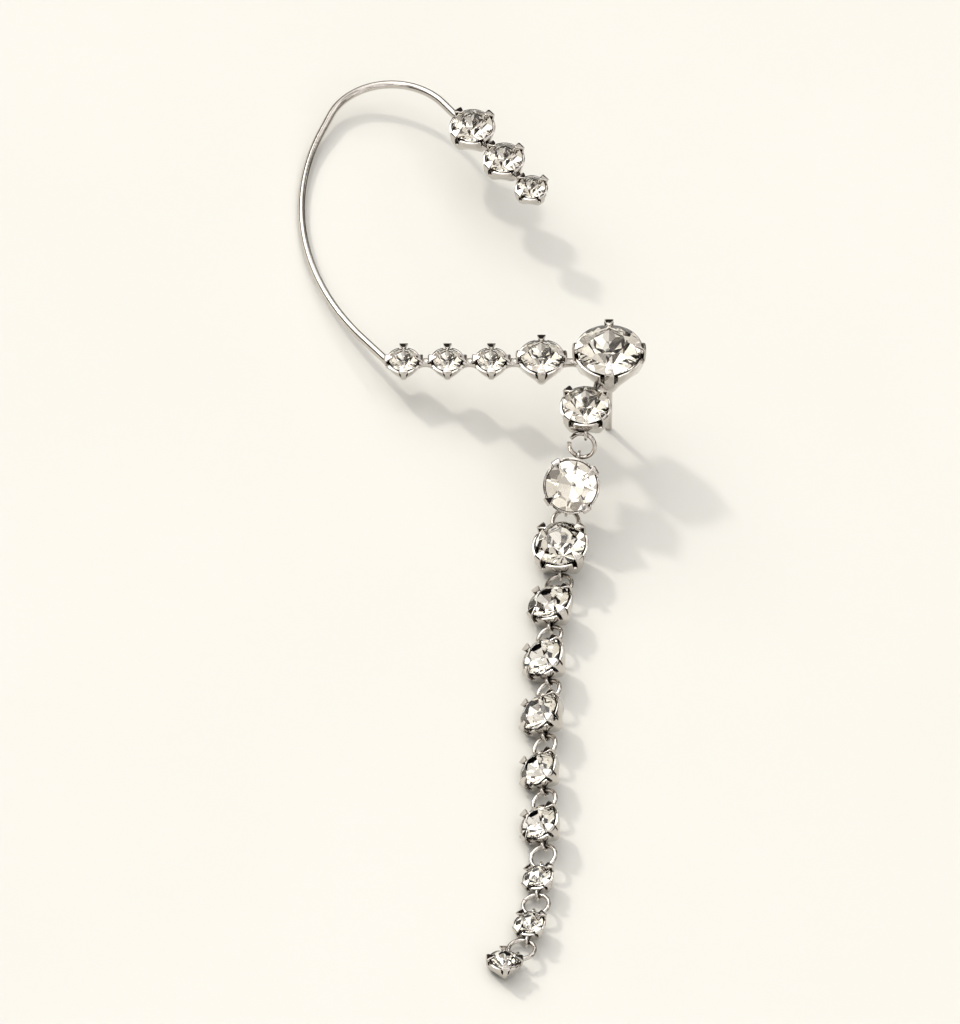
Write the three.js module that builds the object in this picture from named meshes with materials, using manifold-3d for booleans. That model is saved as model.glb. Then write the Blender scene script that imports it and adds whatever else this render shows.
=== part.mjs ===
// Ear cuff: a wire hook that goes round the back of the ear, a soldered row of set crystals with a post
// for the lobe, and a long drop of crystals on jump rings. It lies as it rests by itself on a table:
// the frame leans on the tip of its post and on the bend of its hook, and the drop runs down to the table.
// Millimetres and degrees, +Z up.

import * as THREE from "three";
import { ConvexGeometry } from "three/addons/geometries/ConvexGeometry.js";
import { mergeVertices } from "three/addons/utils/BufferGeometryUtils.js";
import Module from "manifold-3d";

const wasm = await Module();
wasm.setup();

// Stones of the frame, by the diameter of the girdle
const BIG_STONE = 7.6;
const SECOND_STONE = 5.5;
const MEDIUM_STONE = 4.9;
const ROW_STONE = 3.4;
const HOOK_STONE_FIRST = 4.9; // on the end of the wire
const HOOK_STONE_MIDDLE = 4.4;
const HOOK_STONE_LAST = 3.3;

// Stones of the drop
const DROP_LARGE = 6.1;
const DROP_MEDIUM = 4.9;
const DROP_SMALL = 4.4;
const DROP_LEAST = 3.1;

// Cut of a stone, as shares of its diameter
const TABLE_SHARE = 0.52;
const CROWN_SHARE = 0.17;
const GIRDLE_SHARE = 0.03;
const PAVILION_SHARE = 0.43;
const FACETS = 8;

// Cup settings: a thin tapered cup with four claws bent over the stone
const CUP_WALL = 0.3;
const CUP_FLOOR = 0.35;
const STONE_CLEARANCE = 0.08;
const BASE_SHARE = 0.34; // radius of the flat base between claws, of the stone's diameter
const SHOULDER_FOOT_SHARE = 0.41; // the same beside a claw's foot
const CLAW_FOOT_SHARE = 0.48; // the same at a claw's foot, so that the base is a four-pointed star
const WAIST_SHARE = 0.6; // how much of its flare the wall has at the waist
const WAIST_HEIGHT_SHARE = 0.35; // height of the waist, of the girdle's height
const CLAW_FLARE = 0.32; // how far a claw stands out of the cup
const CLAW_THICKNESS = 0.3;
const CLAW_CLEARANCE = 0.1; // between a claw's tip and the stone
const CLAW_BEVEL = 0.09; // how far the top of a claw's tip stands back
const CLAW_GRIP_SHARE = 0.09; // how far a claw reaches over the stone, of its diameter
const CLAW_HALF_ANGLE = 8;
const SHOULDER_ANGLE = 14; // where the cup's rim starts on each side of a claw
const RIM_DIP_SHARE = 0.28; // how far the rim dips between claws, of the girdle's height

// Soldered joints between the cups of the frame
const ROW_GAP = 0.46;
const HOOK_GAP = 0.16;
const SECOND_GAP = 0.36;
const SOLDER_RADIUS = 0.42;
const SOLDER_HEIGHT = 1.2;
const ROW_COUNT = 3;
const SECOND_HEADING = -110; // from the big stone to the second, from +X

// Hook: one round wire, bent flat
const WIRE_DIAMETER = 1.0;
const WIRE_HEADING = 130; // where it leaves the row, from +X
const STEM_LENGTH = 5;
const STEM_BEND_RADIUS = 32;
const STEM_BEND_TURN = 62;
const SHANK_LENGTH = 2.8;
const CROOK_BEND_RADIUS = 8;
const CROOK_BEND_TURN = 120;
const END_LENGTH = 3.6;
const WIRE_SIDES = 8;
const WIRE_STEPS = 60;

// Ear post behind the big stone
const POST_DIAMETER = 0.9;
const POST_LENGTH = 11;
const POST_TIP = 0.15;
const POST_SIDES = 12;

// Eyelets on the cups and the jump rings that link them
const EYELET_RADIUS = 0.62;
const EYELET_WIRE = 0.4;
const EYELET_STANDOFF = 0.375; // from the cup's wall to the middle of the eyelet
const BAIL_REACH = 0.5; // the longer neck on top of the first drop stone
const RING_RADIUS = 1.55;
const RING_WIRE = 0.56;
const RING_GAP = 22; // opening of the first jump ring
const RING_GAP_PLACE = -50; // where it opens, from the ring's lower end
const EYELET_SEGMENTS = 10;
const EYELET_SIDES = 5;
const RING_SEGMENTS = 14;
const RING_SIDES = 6;

// How the drop lies: it comes down from the second stone in a falling curve, then lies along the table.
// FALL_RUN is the length of drop in the air for each millimetre that it falls.
const FALL_RUN = 1.7;
const FALL_POWER = 1.7;
const FRAME_HEADING = 0;

// The drop from the top down: stone diameter, lean of its face to the left, and the way it runs,
// in degrees from -Y towards -X
const DROP = [
  { stone: DROP_LARGE, lean: 16, heading: 0 },
  { stone: DROP_LARGE, lean: 24, heading: 3 },
  { stone: DROP_MEDIUM, lean: 38, heading: 10 },
  { stone: DROP_MEDIUM, lean: 48, heading: 0 },
  { stone: DROP_MEDIUM, lean: 54, heading: 4 },
  { stone: DROP_SMALL, lean: 52, heading: 0 },
  { stone: DROP_SMALL, lean: 46, heading: 0 },
  { stone: DROP_LEAST, lean: 32, heading: 7 },
  { stone: DROP_LEAST, lean: 24, heading: 11 },
  { stone: DROP_LEAST, lean: 18, heading: 44 },
];

const MERGE_DISTANCE = 1e-4;

const METAL = new THREE.MeshStandardMaterial({ color: 0xd9d7d3, roughness: 0.16, metalness: 1 });
const CRYSTAL = new THREE.MeshStandardMaterial({ color: 0xf3f1ec, roughness: 0.05, metalness: 0.1 });

const rad = THREE.MathUtils.degToRad;
const lerp = THREE.MathUtils.lerp;

// Solids

function closed(geometry) {
  const plain = geometry.clone();
  for (const name of Object.keys(plain.attributes)) {
    if (name !== "position") plain.deleteAttribute(name);
  }
  return mergeVertices(plain, MERGE_DISTANCE);
}

function solidOf(geometry) {
  const merged = closed(geometry);
  return new wasm.Manifold(new wasm.Mesh({
    numProp: 3,
    vertProperties: new Float32Array(merged.attributes.position.array),
    triVerts: new Uint32Array(merged.index.array),
  }));
}

function geometryOf(solid) {
  const mesh = solid.getMesh();
  const geometry = new THREE.BufferGeometry();
  geometry.setAttribute("position", new THREE.BufferAttribute(mesh.vertProperties, 3));
  geometry.setIndex(new THREE.BufferAttribute(mesh.triVerts, 1));
  geometry.computeVertexNormals();
  return geometry;
}

function joined(geometries) {
  return geometryOf(geometries.map(solidOf).reduce((whole, part) => whole.add(part)));
}

function named(name, geometry, material) {
  const mesh = new THREE.Mesh(geometry, material);
  mesh.name = name;
  return mesh;
}

// A point of the frame's plane at a length and a heading from another
function step(from, heading, length) {
  const turn = rad(heading);
  return new THREE.Vector2(from.x + length * Math.cos(turn), from.y + length * Math.sin(turn));
}

// Stone: a flat table, a facetted crown, a thin girdle and a pointed pavilion, with the girdle at z = 0

function stoneGeometry(diameter) {
  const radius = diameter / 2;
  const girdle = GIRDLE_SHARE * diameter / 2;
  const points = [];
  for (let i = 0; i < FACETS; i += 1) {
    const angle = 2 * Math.PI * (i + 0.5) / FACETS;
    const table = TABLE_SHARE * radius;
    points.push(new THREE.Vector3(
      table * Math.cos(angle),
      table * Math.sin(angle),
      girdle + CROWN_SHARE * diameter,
    ));
  }
  for (let i = 0; i < 2 * FACETS; i += 1) {
    const angle = Math.PI * i / FACETS;
    const x = radius * Math.cos(angle);
    const y = radius * Math.sin(angle);
    points.push(new THREE.Vector3(x, y, girdle));
    points.push(new THREE.Vector3(x, y, -girdle));
  }
  points.push(new THREE.Vector3(0, 0, -girdle - PAVILION_SHARE * diameter));
  return new ConvexGeometry(points);
}

// Cup sizes that follow its stone

function cupSizes(stone) {
  const girdle = GIRDLE_SHARE * stone / 2;
  const inner = stone / 2 + STONE_CLEARANCE;
  const outer = inner + CUP_WALL;
  const girdleHeight = CUP_FLOOR + STONE_CLEARANCE + girdle + PAVILION_SHARE * stone;
  return {
    inner,
    outer,
    girdle,
    girdleHeight,
    waistHeight: WAIST_HEIGHT_SHARE * girdleHeight,
    rimHeight: girdleHeight * (1 - RIM_DIP_SHARE),
    reach: outer + CLAW_FLARE,
  };
}

// Radius of the outside of the cup's wall, between claws, at a height over its base
function wallRadius(stone, height) {
  const size = cupSizes(stone);
  const base = BASE_SHARE * stone;
  const waist = lerp(base, size.outer, WAIST_SHARE);
  if (height < size.waistHeight) return lerp(base, waist, height / size.waistHeight);
  const share = (height - size.waistHeight) / (size.rimHeight - size.waistHeight);
  return lerp(waist, size.outer, Math.min(share, 1));
}

// Where a soldered bar, wire or neck ends, in the middle of the cup's wall
function seatRadius(stone, height = SOLDER_HEIGHT) {
  return wallRadius(stone, height) - CUP_WALL / 2;
}

// Cup: base at z = 0, the first claw at the given angle. Each column of its wall is one of three outlines,
// from the base up the outside, over the rim and down the inside, as [radius, height].
function cupGeometry(stone, clawAngle) {
  const size = cupSizes(stone);
  const top = size.girdleHeight + size.girdle;
  const crownSlope = CROWN_SHARE / ((1 - TABLE_SHARE) / 2);
  const tipRadius = stone / 2 - CLAW_GRIP_SHARE * stone;
  const tipHeight = top + crownSlope * CLAW_GRIP_SHARE * stone + CLAW_CLEARANCE;
  const outlineOf = (footShare, wall, rim) => {
    const foot = footShare * stone;
    const waist = lerp(foot, wall, WAIST_SHARE);
    return [[foot, 0], [waist, size.waistHeight], ...rim, [foot - CUP_WALL, CUP_FLOOR]];
  };
  const claw = outlineOf(CLAW_FOOT_SHARE, size.reach, [
    [size.reach, size.girdleHeight],
    [tipRadius + CLAW_BEVEL, tipHeight + CLAW_THICKNESS],
    [tipRadius, tipHeight],
    [size.reach - CUP_WALL, top + STONE_CLEARANCE],
  ]);
  const shoulder = outlineOf(SHOULDER_FOOT_SHARE, size.outer, [
    [size.outer, size.girdleHeight - CUP_WALL],
    [size.outer, top],
    [size.inner, top],
    [size.inner, size.girdleHeight - CUP_WALL],
  ]);
  const dip = outlineOf(BASE_SHARE, size.outer, [
    [size.outer, size.rimHeight - CUP_WALL / 2],
    [size.outer, size.rimHeight],
    [size.inner, size.rimHeight],
    [size.inner, size.rimHeight - CUP_WALL / 2],
  ]);
  const quarter = [
    { angle: -CLAW_HALF_ANGLE, outline: claw },
    { angle: CLAW_HALF_ANGLE, outline: claw },
    { angle: SHOULDER_ANGLE, outline: shoulder },
    { angle: 45, outline: dip },
    { angle: 90 - SHOULDER_ANGLE, outline: shoulder },
  ];
  const columns = [];
  for (let i = 0; i < 4; i += 1) {
    for (const { angle, outline } of quarter) {
      columns.push({ angle: rad(clawAngle + 90 * i + angle), outline });
    }
  }

  const rings = claw.length;
  const positions = [0, 0, 0, 0, 0, CUP_FLOOR];
  for (const { angle, outline } of columns) {
    for (const [radius, height] of outline) {
      positions.push(radius * Math.cos(angle), radius * Math.sin(angle), height);
    }
  }
  const at = (column, ring) => 2 + (column % columns.length) * rings + ring;
  const index = [];
  for (let column = 0; column < columns.length; column += 1) {
    index.push(0, at(column + 1, 0), at(column, 0));
    index.push(1, at(column, rings - 1), at(column + 1, rings - 1));
    // On both sides of a claw, the faces fold away from the stone
    const leavesClaw = columns[column].outline === claw && columns[column + 1].outline === shoulder;
    for (let ring = 0; ring < rings - 1; ring += 1) {
      const corners = [
        at(column, ring),
        at(column + 1, ring),
        at(column + 1, ring + 1),
        at(column, ring + 1),
      ];
      if (leavesClaw) corners.push(corners.shift());
      index.push(corners[0], corners[1], corners[2]);
      index.push(corners[0], corners[2], corners[3]);
    }
  }
  const geometry = new THREE.BufferGeometry();
  geometry.setAttribute("position", new THREE.Float32BufferAttribute(positions, 3));
  geometry.setIndex(index);
  return geometry;
}

// Eyelet: an upright wire loop on a cup's wall, towards the given heading, flush with the cup's base

const EYELET_HEIGHT = EYELET_RADIUS + EYELET_WIRE / 2;

function eyeletReach(stone, neck = 0) {
  return wallRadius(stone, EYELET_HEIGHT) + EYELET_STANDOFF + neck;
}

function eyeletGeometries(stone, heading, neck = 0) {
  const loop = new THREE.TorusGeometry(EYELET_RADIUS, EYELET_WIRE / 2, EYELET_SIDES, EYELET_SEGMENTS);
  loop.rotateX(Math.PI / 2);
  loop.translate(eyeletReach(stone, neck), 0, EYELET_HEIGHT);
  const parts = [loop];
  if (neck > 0) {
    const start = seatRadius(stone, EYELET_HEIGHT);
    const end = eyeletReach(stone, neck) - EYELET_RADIUS;
    const bar = new THREE.BoxGeometry(end - start, EYELET_WIRE, 2 * EYELET_WIRE);
    bar.translate((start + end) / 2, 0, EYELET_HEIGHT);
    parts.push(bar);
  }
  return parts.map((part) => part.rotateZ(rad(heading)));
}

// Frame: the cups, the bars between them, the hook and the post, soldered into one piece

const frameStones = layOutFrame();

function layOutFrame() {
  const tipStones = [HOOK_STONE_FIRST, HOOK_STONE_MIDDLE, HOOK_STONE_LAST];
  const reachOf = (stone) => cupSizes(stone).reach;
  const stones = [];
  const place = (name, stone, centre, clawAngle) => {
    stones.push({ name, stone, centre, clawAngle });
    return centre;
  };

  const big = place("big_stone", BIG_STONE, new THREE.Vector2(0, 0), 0);
  const secondStep = reachOf(BIG_STONE) + SECOND_GAP + reachOf(SECOND_STONE);
  place("second_stone", SECOND_STONE, step(big, SECOND_HEADING, secondStep), 45);

  const mediumStep = reachOf(BIG_STONE) + ROW_GAP + reachOf(MEDIUM_STONE);
  let centre = place("medium_stone", MEDIUM_STONE, step(big, 180, mediumStep), 0);
  let last = MEDIUM_STONE;
  for (let i = 0; i < ROW_COUNT; i += 1) {
    centre = step(centre, 180, reachOf(last) + ROW_GAP + reachOf(ROW_STONE));
    place(`row_stone_${i + 1}`, ROW_STONE, centre, 0);
    last = ROW_STONE;
  }

  const hook = hookPath(step(centre, 180, seatRadius(ROW_STONE)));
  const endHeading = hook.endHeading;
  centre = step(hook.end, endHeading, seatRadius(tipStones[0]));
  tipStones.forEach((stone, i) => {
    if (i > 0) {
      centre = step(centre, endHeading, reachOf(tipStones[i - 1]) + HOOK_GAP + reachOf(stone));
    }
    place(`hook_stone_${i + 1}`, stone, centre, endHeading);
  });
  return Object.assign(stones, { hook });
}

// The hook's centre line: stretches that are straight or turn clockwise by a bend radius
function hookPath(start) {
  const stretches = [
    { length: STEM_LENGTH, turn: 0 },
    { length: STEM_BEND_RADIUS * rad(STEM_BEND_TURN), turn: STEM_BEND_TURN },
    { length: SHANK_LENGTH, turn: 0 },
    { length: CROOK_BEND_RADIUS * rad(CROOK_BEND_TURN), turn: CROOK_BEND_TURN },
    { length: END_LENGTH, turn: 0 },
  ];
  const pointAt = (distance) => {
    let point = start;
    let heading = WIRE_HEADING;
    let left = distance;
    for (const { length, turn } of stretches) {
      const run = Math.min(left, length);
      const turned = turn * run / length;
      const chord = turned > 0 ? 2 * run / rad(turned) * Math.sin(rad(turned) / 2) : run;
      point = step(point, heading - turned / 2, chord);
      heading -= turned;
      left -= run;
      if (left <= 0) break;
    }
    return point;
  };
  const total = stretches.reduce((sum, stretch) => sum + stretch.length, 0);
  const endHeading = WIRE_HEADING - stretches.reduce((sum, stretch) => sum + stretch.turn, 0);
  const bendTop = STEM_LENGTH + STEM_BEND_RADIUS * rad(WIRE_HEADING - 90);
  return { pointAt, total, end: pointAt(total), endHeading, outermost: pointAt(bendTop) };
}

class HookCurve extends THREE.Curve {
  getPoint(share) {
    const { x, y } = frameStones.hook.pointAt(share * frameStones.hook.total);
    return new THREE.Vector3(x, y, SOLDER_HEIGHT);
  }
}

function round(diameter, sides) {
  const shape = new THREE.Shape();
  for (let i = 0; i < sides; i += 1) {
    const angle = 2 * Math.PI * (i + 0.5) / sides;
    const point = [diameter / 2 * Math.cos(angle), diameter / 2 * Math.sin(angle)];
    if (i === 0) shape.moveTo(...point);
    else shape.lineTo(...point);
  }
  shape.closePath();
  return shape;
}

function wireGeometry() {
  return new THREE.ExtrudeGeometry(round(WIRE_DIAMETER, WIRE_SIDES), {
    steps: WIRE_STEPS,
    extrudePath: new HookCurve(),
  });
}

// A short bar of solder from one cup's wall to the next one's
function solderGeometry(from, to) {
  const heading = Math.atan2(to.centre.y - from.centre.y, to.centre.x - from.centre.x);
  const distance = from.centre.distanceTo(to.centre);
  const start = seatRadius(from.stone);
  const end = distance - seatRadius(to.stone);
  const bar = new THREE.CylinderGeometry(SOLDER_RADIUS, SOLDER_RADIUS, end - start, WIRE_SIDES);
  bar.rotateZ(Math.PI / 2);
  bar.translate((start + end) / 2, 0, SOLDER_HEIGHT);
  bar.rotateZ(heading);
  bar.translate(from.centre.x, from.centre.y, 0);
  return bar;
}

function postGeometry() {
  const radius = POST_DIAMETER / 2;
  const profile = [
    new THREE.Vector2(0, -POST_LENGTH),
    new THREE.Vector2(radius - POST_TIP, -POST_LENGTH),
    new THREE.Vector2(radius, -POST_LENGTH + POST_TIP),
    new THREE.Vector2(radius, CUP_FLOOR / 2),
    new THREE.Vector2(0, CUP_FLOOR / 2),
  ];
  return new THREE.LatheGeometry(profile, POST_SIDES).rotateX(Math.PI / 2);
}

function frameGeometry() {
  const [big, second, ...rest] = frameStones;
  const row = rest.slice(0, 1 + ROW_COUNT);
  const tip = rest.slice(1 + ROW_COUNT);
  const parts = frameStones.map(({ stone, centre, clawAngle }) =>
    cupGeometry(stone, clawAngle).translate(centre.x, centre.y, 0));
  parts.push(solderGeometry(big, second));
  [big, ...row].slice(1).forEach((cup, i) => parts.push(solderGeometry([big, ...row][i], cup)));
  tip.slice(1).forEach((cup, i) => parts.push(solderGeometry(tip[i], cup)));
  parts.push(wireGeometry());
  parts.push(postGeometry());
  for (const part of eyeletGeometries(second.stone, -90 - FRAME_HEADING)) {
    parts.push(part.translate(second.centre.x, second.centre.y, 0));
  }
  return joined(parts);
}

// Rest of the frame: it turns about Y until the edge of the post's tip and the underside of the hook's
// outermost point are at one height
const tipEdge = POST_DIAMETER / 2 - POST_TIP;
const span = -frameStones.hook.outermost.x - tipEdge;
const rise = POST_LENGTH + SOLDER_HEIGHT;
const FRAME_LEAN = Math.atan2(rise, span) - Math.asin(WIRE_DIAMETER / 2 / Math.hypot(rise, span));
const FRAME_HEIGHT = POST_LENGTH * Math.cos(FRAME_LEAN) + tipEdge * Math.sin(FRAME_LEAN);

function frameGroup() {
  const group = new THREE.Group();
  group.rotation.y = -FRAME_LEAN;
  group.position.z = FRAME_HEIGHT;
  group.add(named("cuff_frame", frameGeometry(), METAL));
  for (const { name, stone, centre, clawAngle } of frameStones) {
    const mesh = named(name, stoneGeometry(stone), CRYSTAL);
    mesh.position.set(centre.x, centre.y, cupSizes(stone).girdleHeight);
    mesh.rotation.z = rad(clawAngle);
    group.add(mesh);
  }
  group.updateMatrixWorld(true);
  return group;
}

// Drop: each cup carries an eyelet at each end, and a jump ring links it to the one above

function dropCupGeometry(stone, neck, last) {
  const parts = [cupGeometry(stone, 45), ...eyeletGeometries(stone, 180, neck)];
  if (!last) parts.push(...eyeletGeometries(stone, 0));
  return joined(parts);
}

function ringGeometry(open) {
  if (!open) {
    return new THREE.TorusGeometry(RING_RADIUS, RING_WIRE / 2, RING_SIDES, RING_SEGMENTS);
  }
  const start = RING_GAP_PLACE + RING_GAP / 2;
  class OpenRing extends THREE.Curve {
    getPoint(share) {
      const angle = rad(start + share * (360 - RING_GAP));
      return new THREE.Vector3(RING_RADIUS * Math.cos(angle), RING_RADIUS * Math.sin(angle), 0);
    }
  }
  return new THREE.ExtrudeGeometry(round(RING_WIRE, RING_SIDES), {
    steps: RING_SEGMENTS,
    extrudePath: new OpenRing(),
  });
}

// Axes of a piece that runs along a heading, slopes down and leans to the left: x runs along the drop
function axes(heading, slope, lean) {
  const along = new THREE.Vector3(-Math.sin(heading), -Math.cos(heading), 0);
  const side = new THREE.Vector3(0, 0, 1).cross(along);
  const forward = along.clone().multiplyScalar(Math.cos(slope));
  forward.z = -Math.sin(slope);
  const up = forward.clone().cross(side);
  const normal = up.clone().multiplyScalar(Math.cos(lean)).addScaledVector(side, -Math.sin(lean));
  return { forward, basis: new THREE.Matrix4().makeBasis(forward, normal.clone().cross(forward), normal) };
}

// Height of the line through a lying cup's eyelets, with its lowest corner on the table
function lyingHeight(geometry, lean) {
  const turned = geometry.clone();
  turned.translate(0, 0, -EYELET_HEIGHT);
  turned.applyMatrix4(axes(0, 0, lean).basis);
  turned.computeBoundingBox();
  return -turned.boundingBox.min.z;
}

function placed(group, basis, origin, offset) {
  group.setRotationFromMatrix(basis);
  group.position.copy(origin).sub(offset.clone().applyMatrix4(basis));
  return group;
}

function dropGroup(frame) {
  const group = new THREE.Group();
  const second = frameStones[1];
  const link = 2 * RING_RADIUS;
  const reach = eyeletReach(second.stone);
  const eyelet = step(second.centre, -90 - FRAME_HEADING, reach);
  let hole = frame.localToWorld(new THREE.Vector3(eyelet.x, eyelet.y, EYELET_HEIGHT));
  const startHeight = hole.z;
  let firstLying;
  const fallAt = (along) => {
    const fall = startHeight - firstLying;
    return fall * Math.max(0, 1 - along / (FALL_RUN * fall)) ** FALL_POWER;
  };

  let along = 0;
  let lastHeading = rad(FRAME_HEADING);
  let lastLean = FRAME_LEAN;
  DROP.forEach((row, i) => {
    const neck = i === 0 ? BAIL_REACH : 0;
    const last = i === DROP.length - 1;
    const number = String(i + 1).padStart(2, "0");
    const geometry = dropCupGeometry(row.stone, neck, last);
    const lean = rad(row.lean);
    const heading = rad(row.heading);
    const lying = lyingHeight(geometry, lean);
    firstLying ??= lying;

    along += link;
    const upper = lying + fallAt(along);
    const ring = axes((heading + lastHeading) / 2, Math.asin((hole.z - upper) / link), (lean + lastLean) / 2);
    const ringMesh = named(`jump_ring_${number}`, ringGeometry(i === 0), METAL);
    group.add(placed(ringMesh, ring.basis, hole, new THREE.Vector3(-RING_RADIUS, 0, 0)));
    hole = hole.clone().addScaledVector(ring.forward, link);

    const length = eyeletReach(row.stone, neck) + eyeletReach(row.stone);
    along += length;
    const lower = lying + fallAt(along);
    const cup = axes(heading, Math.asin((upper - lower) / length), lean);
    const pair = new THREE.Group();
    pair.add(named(`drop_setting_${number}`, geometry, METAL));
    const stone = named(`drop_stone_${number}`, stoneGeometry(row.stone), CRYSTAL);
    stone.position.z = cupSizes(row.stone).girdleHeight;
    stone.rotation.z = rad(45);
    pair.add(stone);
    const offset = new THREE.Vector3(-eyeletReach(row.stone, neck), 0, EYELET_HEIGHT);
    group.add(placed(pair, cup.basis, hole, offset));
    hole = hole.clone().addScaledVector(cup.forward, length);
    lastHeading = heading;
    lastLean = lean;
  });
  return group;
}

// The whole piece, with its origin on the table under the middle of its outline
const earCuff = new THREE.Group();
const frame = frameGroup();
earCuff.add(frame, dropGroup(frame));
const outline = new THREE.Box3().setFromObject(earCuff, true);
const middle = outline.getCenter(new THREE.Vector3());
earCuff.position.set(-middle.x, -middle.y, -outline.min.z);

export default earCuff;
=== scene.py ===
# %% [markdown]
# An ear cuff is a wire that hooks over the ear, with a row of crystals soldered to it and, here, a long
# drop of crystals that hangs from the lobe. Its solids are already worked out at their real size. This
# lesson gives them the surface of the real thing: stamped claw settings, facetted foil-backed crystals,
# bent wire and cut jump rings, in bright rhodium-toned plating.
#
# The lesson starts from those solids. Each is a node with its place in its mesh, in metres.

# %% Load the solids
import math

import bmesh
import bpy
import numpy as np
from mathutils import Matrix, Vector


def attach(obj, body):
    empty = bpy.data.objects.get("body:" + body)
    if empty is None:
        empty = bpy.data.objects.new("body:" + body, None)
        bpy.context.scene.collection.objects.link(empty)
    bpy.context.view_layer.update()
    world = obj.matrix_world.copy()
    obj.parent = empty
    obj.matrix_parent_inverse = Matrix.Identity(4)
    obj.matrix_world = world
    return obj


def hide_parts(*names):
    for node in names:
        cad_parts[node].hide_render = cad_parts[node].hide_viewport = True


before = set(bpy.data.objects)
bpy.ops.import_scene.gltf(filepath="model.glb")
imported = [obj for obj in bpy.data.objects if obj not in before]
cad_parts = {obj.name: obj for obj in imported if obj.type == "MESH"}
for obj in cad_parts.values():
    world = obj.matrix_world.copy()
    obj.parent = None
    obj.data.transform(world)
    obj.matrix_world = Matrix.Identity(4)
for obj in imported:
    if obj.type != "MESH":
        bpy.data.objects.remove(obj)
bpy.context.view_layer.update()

MM = 0.001
print("nodes", len(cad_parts))

# %% [markdown]
# Blender's operators act on what is selected, and the solids come in selected. So each step starts with
# nothing selected, and parts of a mesh are picked by where they are, as a hand would pick them.


# %% Selecting
def clear_selection():
    if bpy.context.object and bpy.context.object.mode != "OBJECT":
        bpy.ops.object.mode_set(mode="OBJECT")
    bpy.ops.object.select_all(action="DESELECT")


def edit(piece):
    clear_selection()
    piece.select_set(True)
    bpy.context.view_layer.objects.active = piece
    bpy.ops.object.mode_set(mode="EDIT")


def pick(piece, kind, test):
    """Selects the vertices, edges or faces whose middle passes the test, and says how many."""
    bpy.ops.mesh.select_mode(type=kind)
    bpy.ops.mesh.select_all(action="DESELECT")
    mesh = bmesh.from_edit_mesh(piece.data)
    parts = {"VERT": mesh.verts, "EDGE": mesh.edges, "FACE": mesh.faces}[kind]
    count = 0
    for part in parts:
        corners = [part] if kind == "VERT" else list(part.verts)
        middle = sum((corner.co for corner in corners), Vector()) / len(corners)
        if test(middle, part):
            part.select_set(True)
            count += 1
    mesh.select_flush_mode()
    bmesh.update_edit_mesh(piece.data)
    return count


def finish_mesh(piece, angle=None):
    """Back to object mode, with its place in its mesh and its shading set."""
    clear_selection()
    piece.select_set(True)
    bpy.context.view_layer.objects.active = piece
    bpy.ops.object.transform_apply(location=True, rotation=True, scale=True)
    if angle is None:
        bpy.ops.object.shade_smooth()
    else:
        bpy.ops.object.shade_smooth_by_angle(angle=math.radians(angle))
    return piece


def apply_modifier(piece, kind, **settings):
    modifier = piece.modifiers.new(kind.title(), kind)
    for name, value in settings.items():
        setattr(modifier, name, value)
    bpy.context.view_layer.objects.active = piece
    bpy.ops.object.modifier_apply(modifier=modifier.name)


def copy_at(piece, name, place, size=1.0):
    """A copy with a mesh of its own, which holds its place."""
    copy = piece.copy()
    copy.data = piece.data.copy()
    copy.name = copy.data.name = name
    bpy.context.scene.collection.objects.link(copy)
    copy.matrix_world = place @ Matrix.Scale(size, 4)
    clear_selection()
    copy.select_set(True)
    bpy.context.view_layer.objects.active = copy
    bpy.ops.object.transform_apply(location=True, rotation=True, scale=True)
    return copy


# %% [markdown]
# Each crystal and its setting share an axis, the line from the point of the stone to its table. The
# solids say where it is: a stone spreads least along its axis, its point is the corner farthest along
# it, and the corners of its girdle give its middle. The tips of the four claws, above the girdle, give
# the turn. Reading the places this way keeps every new piece exactly on its solid.

# %% Places of the stones
ROW_STONES = ["row_stone_1", "row_stone_2", "row_stone_3"]
TIP_STONES = ["hook_stone_1", "hook_stone_2", "hook_stone_3"]
FRAME_STONES = ["big_stone", "second_stone", "medium_stone", *ROW_STONES, *TIP_STONES]
DROP_NUMBERS = [f"{i:02d}" for i in range(1, 11)]
CLAWS = 4


def corners(node):
    points = [vertex.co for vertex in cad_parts[node].data.vertices]
    return np.unique(np.round(points, 7), axis=0)


class Setting:
    """Where one stone sits: its diameter, its axes, with x towards a claw, and the depth of its cup."""

    def __init__(self, stone_node, metal_node):
        self.stone_node = stone_node
        self.metal_node = metal_node
        points = corners(stone_node)
        middle = points.mean(axis=0)
        axis = np.linalg.svd(points - middle)[2][2]
        heights = (points - middle) @ axis
        if heights.max() > -heights.min():
            axis = -axis
            heights = -heights
        across = np.linalg.norm(points - middle - np.outer(heights, axis), axis=1)
        girdle = points[across > 0.95 * across.max()]
        self.centre = girdle.mean(axis=0)
        self.axis = axis
        self.diameter = float(2 * across.max())

        metal = corners(metal_node) - self.centre
        height = metal @ axis
        flat = metal - np.outer(height, axis)
        radius = np.linalg.norm(flat, axis=1)
        near = (radius < 0.45 * self.diameter) & (height > -self.diameter)
        self.depth = float(-height[near].min())
        tips = flat[near & (height > 0)]
        side = np.cross(axis, [0.3, 0.5, 0.8])
        side /= np.linalg.norm(side)
        turns = np.arctan2(tips @ np.cross(axis, side), tips @ side)
        turn = np.angle(np.exp(1j * CLAWS * turns).mean()) / CLAWS
        self.claw = math.cos(turn) * side + math.sin(turn) * np.cross(axis, side)

    def place(self, turn=0.0):
        """From the setting's own axes, with its girdle at z = 0, to the whole piece's."""
        x, z = Vector(self.claw), Vector(self.axis)
        turned = Matrix.Rotation(turn, 3, z) @ x
        axes = Matrix((turned, z.cross(turned), z)).transposed().to_4x4()
        return Matrix.Translation(Vector(self.centre)) @ axes

    def base(self):
        return Vector(self.centre - self.depth * self.axis)


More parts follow.
